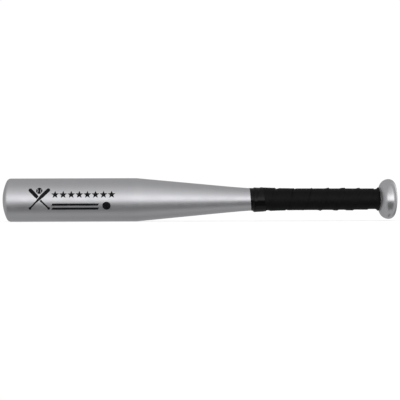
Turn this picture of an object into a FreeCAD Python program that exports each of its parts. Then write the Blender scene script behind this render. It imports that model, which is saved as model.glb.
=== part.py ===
"""Short hollow aluminium baseball bat, lying on its side.

Frame: millimetres, +Z up. +X runs along the bat from the barrel to the knob, and -Y faces the print. The
origin is on the resting surface, below the middle of the bat's length.
Every outline is drawn in the half plane above the bat's axis and turned about that axis. Stations s are
measured along the axis from the tip of the barrel's dome. Stations of the knob are measured back from its own
end face.
"""

import FreeCAD
import Part
import math
import os

# Driving dimensions, in millimetres and degrees.
LENGTH = 457.2
BARREL_R = 25.15
BARREL_WALL = 1.8
HANDLE_R = 11.1
HANDLE_WALL = 2.2
SHOULDER_S = 154.9  # where the barrel's straight side and the taper would cross
NECK_S = 304.0  # where the taper and the handle's straight side would cross
SHOULDER_BLEND_R = 45.0
NECK_BLEND_R = 950.0

DOME_CORNER_R = 4.1  # the dressed weld round the dome
DOME_CORNER_S = 9.0  # where the barrel's straight side starts
DOME_THICK = 2.0
DOME_SKIRT_S = 17.0
DOME_SKIRT_CHAMFER = 0.6

KNOB_RIM_R = 23.2
KNOB_RIM_S = 9.3
KNOB_CORNER_R = 7.2
KNOB_SPIGOT = 16.0
KNOB_SPIGOT_CHAMFER = 1.0
KNOB_CORE_R = 6.0
KNOB_CORE_S = 10.0
VENT_R = 3.0
PLUG_LENGTH = 7.0
PLUG_CHAMFER = 0.3
WELD_LEG = 1.5
WELD_CROWN = 0.2

GRIP_S = 291.3  # the upper cut end of the grip tape
GRIP_BUILD = 1.25  # mean build of the overlapping turns
GRIP_TOE_LEG = 0.8  # how far the tape climbs past the weld on the knob
TAPE_S = 286.9  # the upper edge of the finishing tape
TAPE_WIDTH = 15.6
TAPE_BUILD = 0.3  # two turns of thin vinyl tape
TAPE_RAMP = 1.3

INK = 0.08
EMBLEM_S = 45.5
EMBLEM_ANGLE = 2.8
CREST_LENGTH = 33.0  # of each of the two crossed bats
CREST_BARREL_R = 2.1
CREST_HANDLE_R = 0.85
CREST_KNOB_R = 1.5
CREST_NECK = -5.0  # where the handle starts to widen, from the crossing
CREST_SHOULDER = 5.0  # where the barrel has its full width
CREST_LEAN = 45.0
CREST_GAP = 0.7  # bare line between the front bat and the one behind it
CREST_BALL_R = 3.6
CREST_BALL_V = 9.4
SEAM_R = 2.9
SEAM_OFFSET = 4.3
SEAM_WIDTH = 0.55
STAR_COUNT = 8
STAR_FIRST_S = 63.7
STAR_STEP = 9.2
STAR_R = 4.6
STAR_INNER_SHARE = 0.44
STAR_ROW_ANGLE = 13.9
STRIPE_FROM_S = 59.2
STRIPE_LENGTH = 53.0
STRIPE_HEIGHT = 2.6
STRIPE_SLANT = 1.5
STRIPE_ROW_ANGLES = (-12.2, -23.2)
DOT_S = 122.2
DOT_R = 4.7
DOT_ANGLE = -15.6

AXIS_Z = BARREL_R
AXIS_POINT = FreeCAD.Vector(0, 0, AXIS_Z)
AXIS_DIRECTION = FreeCAD.Vector(1, 0, 0)
FRONT = FreeCAD.Vector(0, -1, 0)
BORE_R = BARREL_R - BARREL_WALL
HANDLE_BORE_R = HANDLE_R - HANDLE_WALL
# The knob's flank is a quarter arc that ends square to the handle, above the weld.
KNOB_FLANK_R = KNOB_RIM_R - HANDLE_R - WELD_LEG
TUBE_END = LENGTH - KNOB_RIM_S - KNOB_FLANK_R


def at(s, r):
    """The point of the half plane at station s and radius r."""
    return FreeCAD.Vector(s - LENGTH / 2, 0, AXIS_Z + r)


def line(p, q):
    return Part.LineSegment(at(*p), at(*q)).toShape()


def arc(centre, radius, start, end):
    """The shorter arc about centre from the direction of start to the direction of end."""
    a, b = (math.atan2(p[1] - centre[1], p[0] - centre[0]) for p in (start, end))
    if b - a > math.pi:
        b -= 2 * math.pi
    if a - b > math.pi:
        b += 2 * math.pi
    on = [(centre[0] + radius * math.cos(t), centre[1] + radius * math.sin(t)) for t in (a, (a + b) / 2, b)]
    return Part.Arc(*(at(*p) for p in on)).toShape()


def bulge(p, q, height):
    """An arc from p to q that stands height off the straight line between them, on its left."""
    chord = math.hypot(q[0] - p[0], q[1] - p[1])
    left = (-(q[1] - p[1]) / chord, (q[0] - p[0]) / chord)
    middle = ((p[0] + q[0]) / 2 + left[0] * height, (p[1] + q[1]) / 2 + left[1] * height)
    return Part.Arc(at(*p), at(*middle), at(*q)).toShape()


def turned(edges):
    """The solid that a closed outline sweeps about the bat's axis."""
    face = Part.Face(Part.Wire(Part.__sortEdges__(edges)))
    solid = face.revolve(AXIS_POINT, AXIS_DIRECTION, 360)
    if solid.Volume < 0:
        solid.reverse()
    return solid


class Taper:
    """The side of the tube: barrel line, shoulder blend, cone, neck blend and handle line."""

    def __init__(self, barrel_r, handle_r):
        self.barrel_r, self.handle_r = barrel_r, handle_r
        self.slope = math.atan2(barrel_r - handle_r, NECK_S - SHOULDER_S)
        shoulder = SHOULDER_BLEND_R * math.tan(self.slope / 2)
        neck = NECK_BLEND_R * math.tan(self.slope / 2)
        run = (math.cos(self.slope), -math.sin(self.slope))
        self.barrel_end = (SHOULDER_S - shoulder, barrel_r)
        self.cone_start = (SHOULDER_S + shoulder * run[0], barrel_r + shoulder * run[1])
        self.cone_end = (NECK_S - neck * run[0], handle_r - neck * run[1])
        self.handle_start = (NECK_S + neck, handle_r)
        self.shoulder_centre = (self.barrel_end[0], barrel_r - SHOULDER_BLEND_R)
        self.neck_centre = (self.handle_start[0], handle_r + NECK_BLEND_R)

    def radius(self, s, lift=0.0):
        """Radius at station s of the neck blend or the handle, lifted off the surface by lift."""
        if s >= self.handle_start[0]:
            return self.handle_r + lift
        off = self.neck_centre[0] - s
        return self.neck_centre[1] - math.sqrt((NECK_BLEND_R - lift) ** 2 - off**2)

    def edges(self, start, end):
        return [
            line((start, self.barrel_r), self.barrel_end),
            arc(self.shoulder_centre, SHOULDER_BLEND_R, self.barrel_end, self.cone_start),
            line(self.cone_start, self.cone_end),
            arc(self.neck_centre, NECK_BLEND_R, self.cone_end, self.handle_start),
            line(self.handle_start, (end, self.handle_r)),
        ]

    def lifted_arc(self, s_from, s_to, lift):
        """The neck blend between two stations, lifted off the surface."""
        start = (s_from, self.radius(s_from, lift))
        end = (s_to, self.radius(s_to, lift))
        return arc(self.neck_centre, NECK_BLEND_R - lift, start, end)


OUTSIDE = Taper(BARREL_R, HANDLE_R)
INSIDE = Taper(BORE_R, HANDLE_BORE_R)


def tangent_ball(corner_s, corner_r, rim_r):
    """Centre station of the ball through the tip that a corner arc of that radius runs into, and where they
    meet."""
    low = rim_r - corner_r
    ball = (corner_s**2 + low**2 - corner_r**2) / (2 * (corner_s - corner_r))
    reach = math.hypot(corner_s - ball, low)
    meet = (ball + (corner_s - ball) * ball / reach, low * ball / reach)
    return ball, meet


DOME_BALL, DOME_MEET = tangent_ball(DOME_CORNER_S, DOME_CORNER_R, BARREL_R)
KNOB_BALL, KNOB_MEET = tangent_ball(KNOB_RIM_S, KNOB_CORNER_R, KNOB_RIM_R)


def knob_point(back, r):
    """A point of the knob, its station measured back from the tip of the end face."""
    return (LENGTH - back, r)


KNOB_FLANK_CENTRE = knob_point(KNOB_RIM_S, KNOB_RIM_R - KNOB_FLANK_R)
WELD_TOE = (TUBE_END - WELD_LEG, HANDLE_R)
WELD_TOP = (TUBE_END, HANDLE_R + WELD_LEG)


def on_flank(r):
    """The point of the knob's flank at radius r."""
    back = KNOB_RIM_S + math.sqrt(KNOB_FLANK_R**2 - (r - KNOB_RIM_R + KNOB_FLANK_R) ** 2)
    return knob_point(back, r)


def bat_tube():
    return turned(
        OUTSIDE.edges(DOME_CORNER_S, TUBE_END)
        + INSIDE.edges(DOME_CORNER_S, TUBE_END)
        + [
            line((DOME_CORNER_S, BORE_R), (DOME_CORNER_S, BARREL_R)),
            line((TUBE_END, HANDLE_BORE_R), (TUBE_END, HANDLE_R)),
        ]
    )


# The dome's outer ball runs under the weld to the skirt, which fits the barrel's bore.
DOME_EDGE = (DOME_MEET[0] + (BORE_R - DOME_MEET[1]), BORE_R)
DOME_INNER_BALL = DOME_BALL - DOME_THICK
SKIRT_BORE_R = BORE_R - DOME_THICK


def end_dome():
    inner_start = (DOME_THICK, 0)
    inner_meet = (DOME_BALL - math.sqrt(DOME_INNER_BALL**2 - SKIRT_BORE_R**2), SKIRT_BORE_R)
    lip = DOME_SKIRT_CHAMFER
    return turned(
        [
            line((0, 0), inner_start),
            arc((DOME_BALL, 0), DOME_INNER_BALL, inner_start, inner_meet),
            line(inner_meet, (DOME_SKIRT_S, SKIRT_BORE_R)),
            line((DOME_SKIRT_S, SKIRT_BORE_R), (DOME_SKIRT_S, BORE_R - lip)),
            line((DOME_SKIRT_S, BORE_R - lip), (DOME_SKIRT_S - lip, BORE_R)),
            line((DOME_SKIRT_S - lip, BORE_R), DOME_EDGE),
            line(DOME_EDGE, DOME_MEET),
            arc((DOME_BALL, 0), DOME_BALL, DOME_MEET, (0, 0)),
        ]
    )


def end_weld():
    top = (DOME_CORNER_S, BARREL_R)
    root = (DOME_CORNER_S, BORE_R)
    corner = (DOME_CORNER_S, BARREL_R - DOME_CORNER_R)
    return turned(
        [
            arc(corner, DOME_CORNER_R, DOME_MEET, top),
            line(top, root),
            line(root, DOME_EDGE),
            line(DOME_EDGE, DOME_MEET),
        ]
    )


def face_point(r):
    """The point of the knob's domed end face at radius r."""
    return knob_point(KNOB_BALL - math.sqrt(KNOB_BALL**2 - r**2), r)


def knob():
    ball_centre = knob_point(KNOB_BALL, 0)
    meet = knob_point(*KNOB_MEET)
    rim = knob_point(KNOB_RIM_S, KNOB_RIM_R)
    corner = knob_point(KNOB_RIM_S, KNOB_RIM_R - KNOB_CORNER_R)
    seat = (TUBE_END, HANDLE_BORE_R)
    tip = TUBE_END - KNOB_SPIGOT
    shy = KNOB_SPIGOT_CHAMFER
    core_end = knob_point(KNOB_CORE_S, KNOB_CORE_R)
    core_step = knob_point(KNOB_CORE_S, VENT_R)
    return turned(
        [
            arc(ball_centre, KNOB_BALL, face_point(VENT_R), meet),
            arc(corner, KNOB_CORNER_R, meet, rim),
            arc(KNOB_FLANK_CENTRE, KNOB_FLANK_R, rim, WELD_TOP),
            line(WELD_TOP, seat),
            line(seat, (tip + shy, HANDLE_BORE_R)),
            line((tip + shy, HANDLE_BORE_R), (tip, HANDLE_BORE_R - shy)),
            line((tip, HANDLE_BORE_R - shy), (tip, KNOB_CORE_R)),
            line((tip, KNOB_CORE_R), core_end),
            line(core_end, core_step),
            line(core_step, face_point(VENT_R)),
        ]
    )


def knob_weld():
    root = (TUBE_END, HANDLE_R)
    return turned([line(WELD_TOE, root), line(root, WELD_TOP), bulge(WELD_TOE, WELD_TOP, WELD_CROWN)])


def vent_plug():
    end = LENGTH - PLUG_LENGTH
    lip = PLUG_CHAMFER
    return turned(
        [
            line((LENGTH, 0), (LENGTH, VENT_R - lip)),
            line((LENGTH, VENT_R - lip), (LENGTH - lip, VENT_R)),
            line((LENGTH - lip, VENT_R), (end, VENT_R)),
            line((end, VENT_R), (end, 0)),
            line((end, 0), (LENGTH, 0)),
        ]
    )


def grip_tape():
    """The wound grip as one sleeve of the turns' mean build, from its cut end to where it climbs the knob."""
    straight = OUTSIDE.handle_start[0]
    outer_r = HANDLE_R + GRIP_BUILD
    cut_in = (GRIP_S, OUTSIDE.radius(GRIP_S))
    cut_out = (GRIP_S, OUTSIDE.radius(GRIP_S, GRIP_BUILD))
    climb_end = on_flank(WELD_TOP[1] + GRIP_TOE_LEG)
    climb_start = (WELD_TOE[0] - GRIP_BUILD, outer_r)
    return turned(
        [
            line(cut_in, cut_out),
            OUTSIDE.lifted_arc(GRIP_S, straight, GRIP_BUILD),
            line((straight, outer_r), climb_start),
            line(climb_start, climb_end),
            arc(KNOB_FLANK_CENTRE, KNOB_FLANK_R, climb_end, WELD_TOP),
            bulge(WELD_TOE, WELD_TOP, WELD_CROWN),
            line(WELD_TOE, (straight, HANDLE_R)),
            OUTSIDE.lifted_arc(GRIP_S, straight, 0),
        ]
    )


def finishing_tape():
    """Vinyl tape that starts on bare metal and runs over the cut end of the grip."""
    end = TAPE_S + TAPE_WIDTH
    ramp = GRIP_S - TAPE_RAMP
    top = GRIP_BUILD + TAPE_BUILD
    metal = (TAPE_S, OUTSIDE.radius(TAPE_S))
    metal_top = (TAPE_S, OUTSIDE.radius(TAPE_S, TAPE_BUILD))
    ramp_foot = (ramp, OUTSIDE.radius(ramp, TAPE_BUILD))
    ramp_top = (GRIP_S, OUTSIDE.radius(GRIP_S, top))
    end_top = (end, OUTSIDE.radius(end, top))
    end_low = (end, OUTSIDE.radius(end, GRIP_BUILD))
    cut_out = (GRIP_S, OUTSIDE.radius(GRIP_S, GRIP_BUILD))
    cut_in = (GRIP_S, OUTSIDE.radius(GRIP_S))
    return turned(
        [
            line(metal, metal_top),
            OUTSIDE.lifted_arc(TAPE_S, ramp, TAPE_BUILD),
            line(ramp_foot, ramp_top),
            OUTSIDE.lifted_arc(GRIP_S, end, top),
            line(end_top, end_low),
            OUTSIDE.lifted_arc(GRIP_S, end, GRIP_BUILD),
            line(cut_out, cut_in),
            OUTSIDE.lifted_arc(TAPE_S, GRIP_S, 0),
        ]
    )


# The print: flat shapes are drawn in the plane through the axis, u along the bat and v up, then pressed onto
# the barrel and kept only where they lie in the film of ink.


def ink_film():
    """The film of ink over the printed half of the barrel."""
    start = EMBLEM_S - CREST_LENGTH
    length = SHOULDER_S - start
    base = FreeCAD.Vector(start - LENGTH / 2, 0, AXIS_Z)
    outer = Part.makeCylinder(BARREL_R + INK, length, base, AXIS_DIRECTION)
    inner = Part.makeCylinder(BARREL_R, length, base, AXIS_DIRECTION)
    return outer.cut(inner)


def flat(points):
    """A flat face through corner points (s, v)."""
    corners = [FreeCAD.Vector(s - LENGTH / 2, 0, AXIS_Z + v) for s, v in points]
    return Part.Face(Part.makePolygon(corners + corners[:1]))


def disc(s, v, radius):
    centre = FreeCAD.Vector(s - LENGTH / 2, 0, AXIS_Z + v)
    return Part.Face(Part.Wire(Part.makeCircle(radius, centre, FRONT)))


def printed(face, angle=0.0):
    """The flat shape pressed onto the front of the barrel and rolled up round it by angle."""
    blocks = [part.extrude(FreeCAD.Vector(0, -2 * BARREL_R, 0)) for part in face.Faces]
    block = blocks[0].multiFuse(blocks[1:]).removeSplitter() if len(blocks) > 1 else blocks[0]
    block.rotate(AXIS_POINT, AXIS_DIRECTION, -angle)
    return block.common(FILM)


def crest_bat(lean, spare=0.0):
    """A bat in outline that leans by an angle, its outline widened by spare."""
    tip = CREST_LENGTH / 2 - CREST_BARREL_R
    butt = CREST_KNOB_R - CREST_LENGTH / 2
    barrel, handle = CREST_BARREL_R + spare, CREST_HANDLE_R + spare
    side = [(butt, handle), (CREST_NECK, handle), (CREST_SHOULDER, barrel), (tip, barrel)]
    corners = side + [(u, -v) for u, v in reversed(side)]
    bat = flat([(EMBLEM_S + u, v) for u, v in corners])
    bat = bat.fuse([disc(EMBLEM_S + tip, 0, barrel), disc(EMBLEM_S + butt, 0, CREST_KNOB_R + spare)])
    bat.rotate(FreeCAD.Vector(EMBLEM_S - LENGTH / 2, 0, AXIS_Z), FRONT, lean)
    return bat


def crest_ball():
    """A ball above the crossing, with two bare seams."""
    ball = disc(EMBLEM_S, CREST_BALL_V, CREST_BALL_R)
    for side in (-1, 1):
        middle = EMBLEM_S + side * SEAM_OFFSET
        outer, inner = SEAM_R + SEAM_WIDTH / 2, SEAM_R - SEAM_WIDTH / 2
        ball = ball.cut(disc(middle, CREST_BALL_V, outer).cut(disc(middle, CREST_BALL_V, inner)))
    return ball


def emblem():
    """Two crossed bats, the one behind with a bare gap round the one in front, and a ball between their
    barrels."""
    front = crest_bat(CREST_LEAN)
    behind = crest_bat(180 - CREST_LEAN).cut(crest_bat(CREST_LEAN, CREST_GAP))
    return [solid for shape in (front, behind, crest_ball()) for solid in printed(shape, EMBLEM_ANGLE).Solids]


def star(s):
    points = []
    for k in range(10):
        reach = STAR_R if k % 2 == 0 else STAR_R * STAR_INNER_SHARE
        turn = math.radians(90 + 36 * k)
        points.append((s + reach * math.cos(turn), reach * math.sin(turn)))
    return printed(flat(points), STAR_ROW_ANGLE)


def stripe(angle):
    half, lean = STRIPE_HEIGHT / 2, STRIPE_SLANT
    start, end = STRIPE_FROM_S, STRIPE_FROM_S + STRIPE_LENGTH
    corners = [(start, -half), (end, -half), (end + lean, half), (start + lean, half)]
    return printed(flat(corners), angle)


def export(name, shapes):
    """Writes one node, and prints its size."""
    shape = Part.makeCompound(shapes) if len(shapes) > 1 else shapes[0]
    shape.exportStep(f"parts/{name}.step")
    print(f"{name}: {len(shape.Solids)} solids, valid {shape.isValid()}, {shape.Volume:.1f} mm3")


FILM = ink_film()

os.makedirs("parts", exist_ok=True)
export("bat_tube", [bat_tube()])
export("end_dome", [end_dome()])
export("end_weld", [end_weld()])
export("knob", [knob()])
export("knob_weld", [knob_weld()])
export("vent_plug", [vent_plug()])
export("grip_tape", [grip_tape()])
export("finishing_tape", [finishing_tape()])
export("print_emblem", emblem())
star_stations = [STAR_FIRST_S + k * STAR_STEP for k in range(STAR_COUNT)]
export("print_stars", [solid for s in star_stations for solid in star(s).Solids])
export("print_stripes", [solid for angle in STRIPE_ROW_ANGLES for solid in stripe(angle).Solids])
export("print_dot", printed(disc(DOT_S, 0, DOT_R), DOT_ANGLE).Solids)
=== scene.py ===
"""Looks of the short aluminium baseball bat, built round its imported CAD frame.

All lengths are in metres, in the frame's axes: +X runs from the barrel to the knob, +Z is up and -Y faces
the print. A station s is a distance along the axis from the tip of the barrel's dome. Angles about the axis
are in turns, 0 at the top, and they grow from the top over the front, which is the side with the print, to
the bottom.
"""

import math

import bpy
import numpy as np
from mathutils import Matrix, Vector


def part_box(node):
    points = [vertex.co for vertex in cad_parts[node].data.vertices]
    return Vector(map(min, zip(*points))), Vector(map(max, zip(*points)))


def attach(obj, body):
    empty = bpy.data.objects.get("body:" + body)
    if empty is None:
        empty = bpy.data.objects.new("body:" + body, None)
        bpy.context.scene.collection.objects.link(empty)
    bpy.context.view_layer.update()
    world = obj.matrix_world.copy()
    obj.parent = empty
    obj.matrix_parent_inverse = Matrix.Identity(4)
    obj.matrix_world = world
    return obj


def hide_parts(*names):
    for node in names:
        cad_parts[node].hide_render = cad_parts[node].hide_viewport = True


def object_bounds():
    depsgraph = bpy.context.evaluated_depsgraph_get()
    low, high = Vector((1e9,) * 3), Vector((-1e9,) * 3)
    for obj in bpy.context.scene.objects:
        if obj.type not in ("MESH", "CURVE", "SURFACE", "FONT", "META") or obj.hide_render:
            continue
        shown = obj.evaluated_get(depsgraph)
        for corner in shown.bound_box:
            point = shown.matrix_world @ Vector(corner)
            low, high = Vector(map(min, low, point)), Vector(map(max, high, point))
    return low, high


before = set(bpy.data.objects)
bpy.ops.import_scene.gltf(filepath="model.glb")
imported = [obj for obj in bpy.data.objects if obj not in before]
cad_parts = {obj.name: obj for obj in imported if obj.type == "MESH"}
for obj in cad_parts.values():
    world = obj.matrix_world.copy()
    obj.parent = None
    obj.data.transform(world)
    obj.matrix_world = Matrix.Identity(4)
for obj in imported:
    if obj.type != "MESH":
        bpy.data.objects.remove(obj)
cad_low, cad_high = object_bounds()

# The bat's main sizes, from the frame.
TUBE_LOW, TUBE_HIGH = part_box("bat_tube")
BARREL_R = (TUBE_HIGH.z - TUBE_LOW.z) / 2
AXIS_Z = (TUBE_HIGH.z + TUBE_LOW.z) / 2
TUBE_START = TUBE_LOW.x - cad_low.x
TUBE_END = TUBE_HIGH.x - cad_low.x
GRIP_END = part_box("grip_tape")[0].x - cad_low.x  # the square cut end, on the barrel side

# The tube's outline, as in the CAD part.
HANDLE_R = 0.0111
BARREL_WALL = 0.0018
HANDLE_WALL = 0.0022
SHOULDER_S = 0.1549
NECK_S = 0.304
SHOULDER_BLEND_R = 0.045
NECK_BLEND_R = 0.950
TUBE_SIDES = 192

# The knob's finish changes from its rough flank to its polished crest between these stations.
FLANK_S, CREST_S = 0.4402, 0.4430

# The wound grip. Its edge that faces the knob starts beside the knob and gains a little more on each turn.
GRIP_THICK = (0.0006, 0.0009)  # pulled hard at the start, and less so at the end
GRIP_WIDTH = 0.038
GRIP_TOE_R = 0.0134  # how far out the first turn climbs the knob
GRIP_TOE_GAP = 0.001  # how far its edge stays short of the tube's end there
GRIP_FILLET_R = 0.0052  # how the tape rounds the corner between handle and knob
GRIP_EDGE_S = 0.4309  # station of that edge at the top, where the spiral has made no turn
GRIP_PITCH = 0.0156
GRIP_PITCH_GAIN = 0.00059
GRIP_SPIRAL_START = -0.45  # the turn at which the spiral leaves the neck
GRIP_SQUARE_TURNS = 1.0  # before that, the tape runs square round the neck
GRIP_POINT_TURNS = 0.7  # the length of the slanted cut at its start
GRIP_TAIL_WIDTH = 0.004  # where the slanted cut at its end is snipped off
GRIP_DRAPE_SLOPE = 0.32  # how steeply the tape comes down off an edge below it
GRIP_CURL = 0.00012  # how much the pulled edge stands up
GRIP_CURL_WIDTH = 0.0012

# Small ups and downs of leather pulled on by hand, as the product of two waves.
PULL_HEIGHT = 0.00004
PULL_FINE, PULL_COARSE = 520, 160  # radians per metre along the bat
PULL_FINE_SHIFT = 1.7  # radians that the fine wave moves on in a turn
PULL_COARSE_WAVES = 2.3  # of the coarse wave in a turn

# The vinyl finishing tape.
VINYL_THICK = 0.00015
VINYL_WIDTH = 0.0140
VINYL_S = 0.2862  # station of its barrel-side edge at the top, at the start
VINYL_DRIFT = 0.0012  # along the bat, each turn
VINYL_SKEW = 0.0008  # half of how far each turn leans
VINYL_SKEW_GAIN = 0.0009
VINYL_FROM, VINYL_TO = -0.35, 1.80
VINYL_DRAPE_SLOPE = 0.8

STEPS_PER_TURN = 96
PROFILE_STEP = 0.00025
PROFILE_SPARE = 0.012  # of the handle's profile past the grip's end, for the vinyl tape to lie on
DRAPE_REACH = 0.003  # how far from a step the tape over it can stand off
STRIP_EDGE_SHARE = 0.45  # of a strip's thickness that is left at its very edges

CAMERA_DISTANCE = 1.15
CAMERA_X = 0.00015
CAMERA_Z_DROP = 0.0005
VIEW_WIDTH = 0.4654  # what the picture's width takes in at the bat's axis
CAMERA_ROLL = math.radians(0.18)


# --------------------------------------------------------------------------------------------------------
# Meshes


def new_piece(name, vertices, faces, material, slot, replaced, sharp_angle=math.radians(40)):
    """A smooth mesh piece with sharp edges kept, in place of a CAD node."""
    mesh = bpy.data.meshes.new(name)
    mesh.from_pydata(vertices, [], faces)
    mesh.validate()
    mesh.shade_smooth()
    mesh.set_sharp_from_angle(angle=sharp_angle)
    piece = bpy.data.objects.new(name, mesh)
    bpy.context.scene.collection.objects.link(piece)
    piece.data.materials.append(material)
    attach(piece, "root")
    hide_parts(*replaced)
    return piece


def around(station, radius, turns):
    """The point at a station and radius, at an angle in turns from the top over the front."""
    angle = math.tau * turns
    return (cad_low.x + station, -radius * math.sin(angle), AXIS_Z + radius * math.cos(angle))


def lathe(outline, sides):
    """Vertices and faces of a closed outline of (station, radius) turned about the axis."""
    count = len(outline)
    vertices = [around(s, r, k / sides) for k in range(sides) for s, r in outline]
    faces = []
    for k in range(sides):
        here, there = k * count, (k + 1) % sides * count
        for j in range(count):
            nxt = (j + 1) % count
            faces.append((here + j, here + nxt, there + nxt, there + j))
    return vertices, faces


def arc_points(centre, radius, start, end, count):
    """Points on the shorter arc about centre, from the direction of start to the direction of end."""
    a, b = (math.atan2(p[1] - centre[1], p[0] - centre[0]) for p in (start, end))
    b += math.tau * round((a - b) / math.tau)
    angles = np.linspace(a, b, count)
    return [(centre[0] + radius * math.cos(t), centre[1] + radius * math.sin(t)) for t in angles]


class Taper:
    """One side of the tube's wall: barrel line, shoulder blend, cone, neck blend and handle line."""

    def __init__(self, barrel_r, handle_r):
        slope = math.atan2(barrel_r - handle_r, NECK_S - SHOULDER_S)
        shoulder = SHOULDER_BLEND_R * math.tan(slope / 2)
        neck = NECK_BLEND_R * math.tan(slope / 2)
        self.barrel_r, self.handle_r = barrel_r, handle_r
        self.barrel_end = (SHOULDER_S - shoulder, barrel_r)
        self.cone_start = (SHOULDER_S + shoulder * math.cos(slope), barrel_r - shoulder * math.sin(slope))
        self.cone_end = (NECK_S - neck * math.cos(slope), handle_r + neck * math.sin(slope))
        self.handle_start = (NECK_S + neck, handle_r)
        self.shoulder_centre = (self.barrel_end[0], barrel_r - SHOULDER_BLEND_R)
        self.neck_centre = (self.handle_start[0], handle_r + NECK_BLEND_R)

    def outline(self):
        def evenly(a, b, count):
            slope = (b[1] - a[1]) / (b[0] - a[0])
            return [(s, a[1] + slope * (s - a[0])) for s in np.linspace(a[0], b[0], count)]

        barrel = evenly((TUBE_START, self.barrel_r), self.barrel_end, 18)
        shoulder = arc_points(self.shoulder_centre, SHOULDER_BLEND_R, self.barrel_end, self.cone_start, 8)
        cone = evenly(self.cone_start, self.cone_end, 12)
        neck = arc_points(self.neck_centre, NECK_BLEND_R, self.cone_end, self.handle_start, 20)
        handle = evenly(self.handle_start, (TUBE_END, self.handle_r), 8)
        return barrel[:-1] + shoulder[:-1] + cone[:-1] + neck[:-1] + handle

    def neck_points(self, start):
        """The outline from a station on the neck blend to where the straight handle starts."""
        radius = self.neck_centre[1] - math.sqrt(NECK_BLEND_R**2 - (self.neck_centre[0] - start) ** 2)
        return arc_points(self.neck_centre, NECK_BLEND_R, (start, radius), self.handle_start, 60)


OUTSIDE = Taper(BARREL_R, HANDLE_R)
INSIDE = Taper(BARREL_R - BARREL_WALL, HANDLE_R - HANDLE_WALL)


class Winding:
    """Tape wound over the handle. heights holds how high the tapes stand so far, by angle and by distance u
    along the profile, which starts on the knob and runs towards the barrel."""

    def __init__(self):
        rise = GRIP_TOE_R - HANDLE_R
        run = math.sqrt(GRIP_FILLET_R**2 - (GRIP_FILLET_R - rise) ** 2)
        toe_s = TUBE_END - GRIP_TOE_GAP
        corner = (toe_s - run, HANDLE_R + GRIP_FILLET_R)
        fillet = arc_points(corner, GRIP_FILLET_R, (toe_s, GRIP_TOE_R), (corner[0], HANDLE_R), 40)
        path = np.array(fillet + OUTSIDE.neck_points(GRIP_END - PROFILE_SPARE)[::-1])
        travelled = np.concatenate([[0], np.cumsum(np.hypot(*np.diff(path, axis=0).T))])
        self.u = np.arange(0, travelled[-1], PROFILE_STEP)
        self.s = np.interp(self.u, travelled, path[:, 0])
        self.r = np.interp(self.u, travelled, path[:, 1])
        ds, dr = np.gradient(self.s), np.gradient(self.r)
        size = np.hypot(ds, dr)
        self.normal_s, self.normal_r = dr / size, -ds / size
        self.heights = np.zeros((STEPS_PER_TURN, len(self.u)))

    def u_at(self, station):
        return float(np.interp(-station, -self.s, self.u))

    def point(self, u, height, turns):
        station = np.interp(u, self.u, self.s) + height * np.interp(u, self.u, self.normal_s)
        radius = np.interp(u, self.u, self.r) + height * np.interp(u, self.u, self.normal_r)
        return around(station, radius, turns)

    def draped(self, column, slope):
        """A column of heights with tape stretched over its steps."""
        reach = int(DRAPE_REACH / PROFILE_STEP)
        padded = np.pad(column, reach, mode="edge")
        steps = range(-reach, reach + 1)
        shifted = [padded[reach + k : reach + k + len(column)] - slope * PROFILE_STEP * abs(k) for k in steps]
        return np.max(shifted, axis=0)

    def wind(self, first, last, edges, thicks, slope, curl, unevenness):
        """Lays a strip from turn first to turn last and returns its closed mesh. edges(turns) gives the
        distances of its two edges along the profile, and thicks its thickness at the two ends."""
        rounding = min(thicks) * 0.5
        lanes = np.concatenate([[0, 0.15, 0.4, 0.7, 1.0], np.linspace(1.6, 3.4, 4)]) * rounding
        vertices, sections = [], 0
        steps = range(round(first * STEPS_PER_TURN), round(last * STEPS_PER_TURN) + 1)
        for step in steps:
            turns = step / STEPS_PER_TURN
            thick = np.interp(turns, (first, last), thicks)
            low, high = edges(turns)
            column = self.heights[step % STEPS_PER_TURN]
            under = self.draped(column, slope)
            inner_span = np.linspace(low + lanes[-1], high - lanes[-1], 30)
            across = np.concatenate([low + lanes[:-1], inner_span, (high - lanes[:-1])[::-1]])
            from_edge = np.minimum(across - low, high - across)
            shoulder = 1 - np.clip(from_edge / rounding, 0, 1)
            build = thick * (STRIP_EDGE_SHARE + (1 - STRIP_EDGE_SHARE) * np.sqrt(1 - shoulder**2))
            free = min(1.0, (high - low) / GRIP_WIDTH)
            curled = free * curl * np.exp(-(across - low) / GRIP_CURL_WIDTH)
            build = build + curled + unevenness(across, turns)
            below = np.interp(across, self.u, under)
            for u, height in zip(across, below + build):
                vertices.append(self.point(u, height, turns))
            for u, height in zip(across, below):
                vertices.append(self.point(u, height, turns))
            inside = (self.u >= low) & (self.u <= high)
            column[inside] = under[inside] + thick
            sections += 1
        return self.strip_mesh(vertices, sections, len(vertices) // sections // 2)

    @staticmethod
    def strip_mesh(vertices, sections, lanes):
        """Joins sections of an outer and an inner row of lanes into a closed strip."""
        ring = list(range(lanes)) + list(range(2 * lanes - 1, lanes - 1, -1))
        faces = []
        for k in range(sections - 1):
            here, there = k * 2 * lanes, (k + 1) * 2 * lanes
            for a, b in zip(ring, ring[1:] + ring[:1]):
                faces.append((here + a, here + b, there + b, there + a))
        faces.append(tuple(reversed(ring)))
        faces.append(tuple((sections - 1) * 2 * lanes + v for v in ring))
        return vertices, faces


# --------------------------------------------------------------------------------------------------------
# Materials


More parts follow.
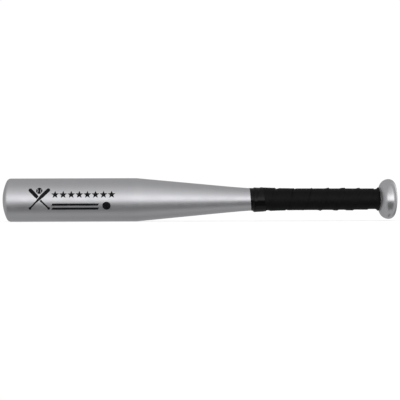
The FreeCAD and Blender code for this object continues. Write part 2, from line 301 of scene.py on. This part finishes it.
class Shader:
    """A node material being put together."""

    def __init__(self, name, **settings):
        self.material = bpy.data.materials.new(name)
        self.material.use_nodes = True
        self.tree = self.material.node_tree
        self.bsdf = self.tree.nodes["Principled BSDF"]
        for socket, value in settings.items():
            self.bsdf.inputs[socket.replace("_", " ")].default_value = value

    def node(self, kind, inputs=(), **properties):
        made = self.tree.nodes.new(kind)
        for key, value in properties.items():
            setattr(made, key, value)
        for socket, value in dict(inputs).items():
            if isinstance(value, bpy.types.NodeSocket):
                self.tree.links.new(value, made.inputs[socket])
            else:
                made.inputs[socket].default_value = value
        return made

    def math(self, operation, *values):
        return self.node("ShaderNodeMath", enumerate(values), operation=operation).outputs[0]

    def coordinates(self):
        """The place as x along the bat, y and z from its axis, and the distance from the axis."""
        place = self.node("ShaderNodeTexCoord").outputs["Object"]
        split = self.node("ShaderNodeSeparateXYZ", {0: place})
        x, y = split.outputs[0], split.outputs[1]
        z = self.math("SUBTRACT", split.outputs[2], AXIS_Z)
        radius = self.math("SQRT", self.math("ADD", self.math("MULTIPLY", y, y), self.math("MULTIPLY", z, z)))
        return x, y, z, radius

    def vector(self, x, y, z):
        return self.node("ShaderNodeCombineXYZ", {0: x, 1: y, 2: z}).outputs[0]

    def stretched(self, x, y, z, along, across):
        """The place scaled by one number along the bat and by another across it."""
        return self.vector(*[self.math("MULTIPLY", v, k) for v, k in ((x, along), (y, across), (z, across))])

    def noise(self, vector, scale, detail=2.0, roughness=0.5):
        settings = {"Vector": vector, "Scale": scale, "Detail": detail, "Roughness": roughness}
        return self.node("ShaderNodeTexNoise", settings).outputs["Fac"]

    def spread(self, value, low, high, from_low=0.0, from_high=1.0):
        """Maps a value from one range to another."""
        source = {"Value": value, "From Min": from_low, "From Max": from_high}
        return self.node("ShaderNodeMapRange", {**source, "To Min": low, "To Max": high}).outputs["Result"]

    def tint(self, factor, dark, light):
        """A colour between dark and light."""
        mix = self.node("ShaderNodeMix", data_type="RGBA")
        self.tree.links.new(factor, mix.inputs["Factor"])
        mix.inputs["A"].default_value = (*dark, 1)
        mix.inputs["B"].default_value = (*light, 1)
        return mix.outputs["Result"]

    def bump(self, height, distance, strength=1.0, under=None):
        inputs = {"Height": height, "Distance": distance, "Strength": strength}
        if under is not None:
            inputs["Normal"] = under
        return self.node("ShaderNodeBump", inputs).outputs["Normal"]

    def set(self, socket, value):
        self.tree.links.new(value, self.bsdf.inputs[socket])


def turned_metal(name, light, dark, roughness, groove_pitch, groove_depth, flank_roughness=0.0):
    """Aluminium finished on a lathe: fine grooves that run round the bat, with faint handling marks over
    them. The polishing wheel leaves the knob's flank rougher, by flank_roughness."""
    shader = Shader(name, Metallic=1.0)
    x, y, z, radius = shader.coordinates()
    fine = 1 / groove_pitch
    grooves_at = shader.vector(
        shader.math("MULTIPLY", x, fine),
        shader.math("MULTIPLY", radius, fine),
        shader.math("MULTIPLY", shader.math("ADD", y, z), 25.0),
    )
    grooves = shader.noise(grooves_at, 1.0, detail=3.0, roughness=0.6)
    place = shader.vector(x, y, z)
    smudges = shader.noise(place, 38.0, detail=4.0, roughness=0.6)
    streaks_at = shader.stretched(x, y, z, 260.0, 22.0)
    streaks = shader.noise(streaks_at, 1.0, detail=2.0)
    grain = shader.math("ADD", shader.math("MULTIPLY", grooves, 0.6), shader.math("MULTIPLY", streaks, 0.4))
    shader.set("Base Color", shader.tint(grain, dark, light))
    smudged = shader.spread(smudges, -0.05, 0.05, 0.3, 0.7)
    rough = shader.math("ADD", shader.spread(grain, -0.05, 0.05), smudged)
    flank = shader.spread(x, flank_roughness, 0.0, cad_low.x + FLANK_S, cad_low.x + CREST_S)
    shader.set("Roughness", shader.math("ADD", rough, shader.math("ADD", flank, roughness)))
    shader.set("Normal", shader.bump(grooves, groove_depth))
    return shader.material


def grip_leather():
    """Black synthetic leather: small pebbles with creases between them."""
    shader = Shader("grip_leather", Specular_IOR_Level=0.20)
    x, y, z, _ = shader.coordinates()
    place = shader.vector(x, y, z)
    shift = shader.spread(shader.noise(place, 900.0, detail=1.0), -0.0002, 0.0002)
    shifts = shader.vector(shift, shift, shift)
    bent = shader.node("ShaderNodeVectorMath", {0: place, 1: shifts}, operation="ADD")
    pebble_place = {"Vector": bent.outputs[0], "Scale": 1500.0}
    cells = shader.node("ShaderNodeTexVoronoi", pebble_place, feature="DISTANCE_TO_EDGE")
    pebbles = shader.spread(cells.outputs["Distance"], 0.0, 1.0, 0.0, 0.22)
    fine = shader.noise(place, 5200.0, detail=2.0)
    worn = shader.noise(place, 60.0, detail=3.0)
    shader.set("Base Color", shader.tint(worn, (0.0006, 0.0006, 0.0007), (0.0016, 0.0016, 0.0017)))
    creased = shader.spread(pebbles, 0.05, 0.0)
    shader.set("Roughness", shader.math("ADD", shader.spread(worn, 0.44, 0.54, 0.3, 0.7), creased))
    relief = shader.math("ADD", pebbles, shader.math("MULTIPLY", fine, 0.3))
    shader.set("Normal", shader.bump(relief, 0.00004))
    return shader.material


def vinyl():
    """Glossy black vinyl tape, with the faint ripples of a stretched film."""
    shader = Shader("vinyl_gloss", Specular_IOR_Level=0.28)
    x, y, z, _ = shader.coordinates()
    place = shader.vector(x, y, z)
    ripples = shader.noise(shader.stretched(x, y, z, 900.0, 90.0), 1.0, detail=2.0)
    marks = shader.noise(place, 220.0, detail=3.0)
    shader.set("Base Color", shader.tint(marks, (0.0005, 0.0005, 0.0006), (0.0012, 0.0012, 0.0013)))
    shader.set("Roughness", shader.spread(marks, 0.09, 0.15, 0.3, 0.7))
    shader.set("Normal", shader.bump(ripples, 0.00001))
    return shader.material


def ink():
    """Flat black screen ink with a faint weave of the screen and a few thin places."""
    shader = Shader("screen_ink", Specular_IOR_Level=0.15)
    x, y, z, _ = shader.coordinates()
    place = shader.vector(x, y, z)
    thin = shader.noise(place, 420.0, detail=3.0, roughness=0.65)
    weave = shader.noise(place, 4200.0, detail=1.0)
    worn = shader.spread(thin, 0.0, 1.0, 0.45, 0.85)
    shader.set("Base Color", shader.tint(worn, (0.0025, 0.0025, 0.0035), (0.014, 0.014, 0.016)))
    shader.set("Roughness", shader.spread(thin, 0.42, 0.58, 0.3, 0.7))
    shader.set("Normal", shader.bump(weave, 0.00001))
    return shader.material


def repaint(node, material):
    """Gives a CAD node that stays in view a better material."""
    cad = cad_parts[node]
    cad.data.materials.clear()
    cad.data.materials.append(material)


# --------------------------------------------------------------------------------------------------------
# The bat

SATIN = turned_metal(
    "satin_tube", light=(0.83, 0.832, 0.85), dark=(0.77, 0.772, 0.79),
    roughness=0.40, groove_pitch=0.00035, groove_depth=0.000006,
)
DOME_METAL = turned_metal(
    "turned_dome", light=(0.82, 0.822, 0.84), dark=(0.76, 0.762, 0.78),
    roughness=0.42, groove_pitch=0.0004, groove_depth=0.000008,
)
WELD_METAL = turned_metal(
    "dressed_weld", light=(0.80, 0.802, 0.82), dark=(0.72, 0.722, 0.74),
    roughness=0.42, groove_pitch=0.0006, groove_depth=0.00001,
)
KNOB_METAL = turned_metal(
    "turned_knob", light=(0.86, 0.862, 0.875), dark=(0.80, 0.802, 0.815),
    roughness=0.24, groove_pitch=0.0005, groove_depth=0.000006, flank_roughness=0.30,
)
LEATHER = grip_leather()
VINYL = vinyl()
INK = ink()

tube_outline = OUTSIDE.outline() + INSIDE.outline()[::-1]
new_piece("tube", *lathe(tube_outline, TUBE_SIDES), SATIN, "tube_aluminium", ["bat_tube"])

for node, material in (
    ("end_dome", DOME_METAL),
    ("end_weld", WELD_METAL),
    ("knob", KNOB_METAL),
    ("knob_weld", WELD_METAL),
    ("vent_plug", KNOB_METAL),
    ("print_emblem", INK),
    ("print_stars", INK),
    ("print_stripes", INK),
    ("print_dot", INK),
):
    repaint(node, material)

winding = Winding()
grip_stop = winding.u_at(GRIP_END)
first_turn = GRIP_SPIRAL_START - GRIP_SQUARE_TURNS


def grip_edges(turns):
    """Distances of the grip tape's edges, the one on the knob's side first."""
    station = GRIP_EDGE_S - GRIP_PITCH * turns - GRIP_PITCH_GAIN * turns * abs(turns)
    low = winding.u_at(station) if turns > GRIP_SPIRAL_START else 0.0
    width = GRIP_WIDTH * min(1.0, (turns - first_turn) / GRIP_POINT_TURNS)
    return low, min(low + width, grip_stop)


def hand_wound(across, turns):
    """Small ups and downs of leather pulled on by hand."""
    fine = np.sin(across * PULL_FINE + PULL_FINE_SHIFT * turns)
    coarse = np.sin(math.tau * turns * PULL_COARSE_WAVES + across * PULL_COARSE)
    return PULL_HEIGHT * (fine * coarse)


def vinyl_edges(turns):
    lean = VINYL_SKEW + VINYL_SKEW_GAIN * (turns - 0.5)
    station = VINYL_S + VINYL_DRIFT * turns + lean * (1 - math.cos(math.tau * turns))
    high = winding.u_at(station)
    return high - VINYL_WIDTH, high


def smooth_film(across, turns):
    return 0.0


tail_reach = GRIP_EDGE_S - GRIP_END - GRIP_TAIL_WIDTH
last_turn = (math.sqrt(GRIP_PITCH**2 + 4 * GRIP_PITCH_GAIN * tail_reach) - GRIP_PITCH) / (2 * GRIP_PITCH_GAIN)
grip_mesh = winding.wind(
    first_turn, last_turn, grip_edges, GRIP_THICK, GRIP_DRAPE_SLOPE, GRIP_CURL, hand_wound
)
new_piece("grip_winding", *grip_mesh, LEATHER, "grip", ["grip_tape"])
film = (VINYL_THICK, VINYL_THICK)
vinyl_mesh = winding.wind(VINYL_FROM, VINYL_TO, vinyl_edges, film, VINYL_DRAPE_SLOPE, 0.0, smooth_film)
new_piece("vinyl_winding", *vinyl_mesh, VINYL, "vinyl", ["finishing_tape"])


# --------------------------------------------------------------------------------------------------------
# Stage, light and camera

# The studio that the metal mirrors, as pairs of elevation in degrees and level: the plain room, the side
# towards the camera with its long soft box over a dark gap, and the far side with a weaker box.
ROOM = ((-90, 0.35), (0, 0.35), (90, 0.36))
NEAR = (
    (-90, 0.36), (-68, 0.36), (-58, 0.15), (-34, 0.14), (-19, 0.15), (-12, 0.28), (-6, 1.15), (8, 1.25),
    (21, 0.92), (31, 0.68), (44, 0.57), (62, 0.49), (76, 0.43), (90, 0.36),
)
FAR = (
    (-90, 0.35), (-52, 0.32), (-40, 0.18), (-14, 0.18), (-6, 0.40), (2, 0.95), (20, 0.95), (32, 0.60),
    (46, 0.46), (90, 0.36),
)
NEAR_FROM, NEAR_TO, NEAR_SOFT = -50, 48, 14  # degrees from the camera's side, growing towards the knob
FAR_FROM, FAR_TO, FAR_SOFT = 42, 66, 8  # degrees from straight behind, growing towards the knob
BOX_DIM, BOX_BRIGHT = 0.85, 1.15  # the near box at its two ends
# A darker patch just behind the nadir: its edges and their softness in degrees, across the bat and along it,
# and what is left of the room's light in it.
KEEL_ACROSS = (5, 34, 9)
KEEL_ALONG = (-6, 5, 2.5)
KEEL_DARK = 0.45
SKY_COLOUR = (0.985, 0.985, 1.0)
BACKDROP_LEVEL = 1.02  # the white that is seen behind the bat
LAMP_AZIMUTHS = {"lamp_front_left": -35, "lamp_front_right": 40, "lamp_back": 180}
LAMP_ELEVATION = 62
LAMP_WIDTH = 50  # degrees across, as seen from the bat
FLOOR_HALF = 3.0
FLOOR_LIGHT = 1.6  # watts per square metre on the floor, from lamps that metal doesn't mirror
FLOOR_GREY = 0.33
FLOOR_GLOW = 0.72  # its own light, which keeps the shadows pale


class Sky(Shader):
    """The world's nodes: a soft studio, fixed in the frame."""

    def __init__(self):
        world = bpy.data.worlds.new("soft_studio")
        world.use_nodes = True
        self.tree = world.node_tree
        bpy.context.scene.world = world
        direction = self.node("ShaderNodeTexCoord").outputs["Generated"]
        split = self.node("ShaderNodeSeparateXYZ", {0: direction})
        x, y, z = split.outputs
        elevation = self.math("ARCSINE", z)
        azimuth = self.math("ARCTAN2", x, self.math("MULTIPLY", y, -1.0))
        azimuth_behind = self.math("ARCTAN2", x, y)
        near_window = self.window(azimuth, NEAR_FROM, NEAR_TO, NEAR_SOFT)
        far_window = self.window(azimuth_behind, FAR_FROM, FAR_TO, FAR_SOFT)
        box_level = self.spread(azimuth, BOX_DIM, BOX_BRIGHT, math.radians(NEAR_FROM), math.radians(NEAR_TO))
        keel = self.window(self.math("ARCTAN2", y, self.math("MULTIPLY", z, -1.0)), *KEEL_ACROSS)
        keel_length = self.window(self.math("ARCSINE", x), *KEEL_ALONG)
        kept = self.spread(self.math("MULTIPLY", keel, keel_length), 1.0, KEEL_DARK)
        room = self.blend(far_window, self.ramp(elevation, ROOM), self.ramp(elevation, FAR))
        level = self.blend(near_window, room, self.math("MULTIPLY", self.ramp(elevation, NEAR), box_level))
        strength = self.math("MULTIPLY", level, kept)
        studio = self.node("ShaderNodeBackground", {"Color": (*SKY_COLOUR, 1), "Strength": strength})
        white = self.node("ShaderNodeBackground", {"Color": (1, 1, 1, 1), "Strength": BACKDROP_LEVEL})
        seen = self.node("ShaderNodeLightPath").outputs["Is Camera Ray"]
        both = self.node("ShaderNodeMixShader", {0: seen, 1: studio.outputs[0], 2: white.outputs[0]})
        self.tree.links.new(both.outputs[0], self.tree.nodes["World Output"].inputs["Surface"])

    def ramp(self, elevation, stops):
        """The level at an elevation, from a list of stops."""
        fraction = self.spread(elevation, 0.0, 1.0, -math.pi / 2, math.pi / 2)
        ramp = self.node("ShaderNodeValToRGB", {"Fac": fraction})
        elements = ramp.color_ramp.elements
        while len(elements) < len(stops):
            elements.new(0.5)
        for element, (degrees, _) in zip(elements, stops):
            element.position = (degrees + 90) / 180
        for element, (_, level) in zip(elements, stops):
            element.color = (level, level, level, 1)
        return ramp.outputs["Color"]

    def window(self, angle, low, high, soft):
        """One between two angles in degrees and nought outside them, with soft edges."""
        product = None
        for edge, before, after in ((low, 0.0, 1.0), (high, 1.0, 0.0)):
            start, end = math.radians(edge - soft), math.radians(edge + soft)
            span = {"Value": angle, "From Min": start, "From Max": end, "To Min": before, "To Max": after}
            step = self.node("ShaderNodeMapRange", span, interpolation_type="SMOOTHSTEP").outputs["Result"]
            product = step if product is None else self.math("MULTIPLY", product, step)
        return product

    def blend(self, factor, without, inside):
        change = self.math("MULTIPLY", factor, self.math("SUBTRACT", inside, without))
        return self.math("ADD", without, change)


def floor():
    """A plain pale floor with a light table's soft glow, which the metal doesn't mirror."""
    corners = [(x * FLOOR_HALF, y * FLOOR_HALF, 0) for x, y in ((-1, -1), (1, -1), (1, 1), (-1, 1))]
    mesh = bpy.data.meshes.new("floor")
    mesh.from_pydata(corners, [], [(0, 1, 2, 3)])
    plane = bpy.data.objects.new("floor", mesh)
    bpy.context.scene.collection.objects.link(plane)
    paper = Shader("pale_paper", Roughness=0.9, Specular_IOR_Level=0.0, Emission_Strength=FLOOR_GLOW)
    paper.bsdf.inputs["Emission Color"].default_value = (1, 1, 1, 1)
    place = paper.node("ShaderNodeTexCoord").outputs["Object"]
    fibres = paper.noise(place, 300.0, detail=3.0)
    paper.set("Base Color", paper.tint(fibres, [FLOOR_GREY - 0.01] * 3, [FLOOR_GREY + 0.01] * 3))
    mesh.materials.append(paper.material)
    plane.visible_glossy = False


def lamp(name, azimuth, irradiance):
    """A wide soft sun that lights the floor and the tape but isn't mirrored in the metal."""
    data = bpy.data.lights.new(name, "SUN")
    data.energy = irradiance / math.sin(math.radians(LAMP_ELEVATION))
    data.angle = math.radians(LAMP_WIDTH)
    light = bpy.data.objects.new(name, data)
    light.rotation_euler = (math.radians(90 - LAMP_ELEVATION), 0, math.radians(azimuth))
    light.visible_glossy = False
    bpy.context.scene.collection.objects.link(light)


def camera():
    data = bpy.data.cameras.new("camera")
    data.lens = data.sensor_width * CAMERA_DISTANCE / VIEW_WIDTH
    view = bpy.data.objects.new("camera", data)
    view.location = ((cad_low.x + cad_high.x) / 2 + CAMERA_X, -CAMERA_DISTANCE, AXIS_Z - CAMERA_Z_DROP)
    view.rotation_euler = (math.pi / 2, CAMERA_ROLL, 0)
    bpy.context.scene.collection.objects.link(view)
    bpy.context.scene.camera = view


Sky()
floor()
for name, azimuth in LAMP_AZIMUTHS.items():
    lamp(name, azimuth, FLOOR_LIGHT / len(LAMP_AZIMUTHS))
camera()
bpy.context.scene.view_settings.view_transform = "Standard"
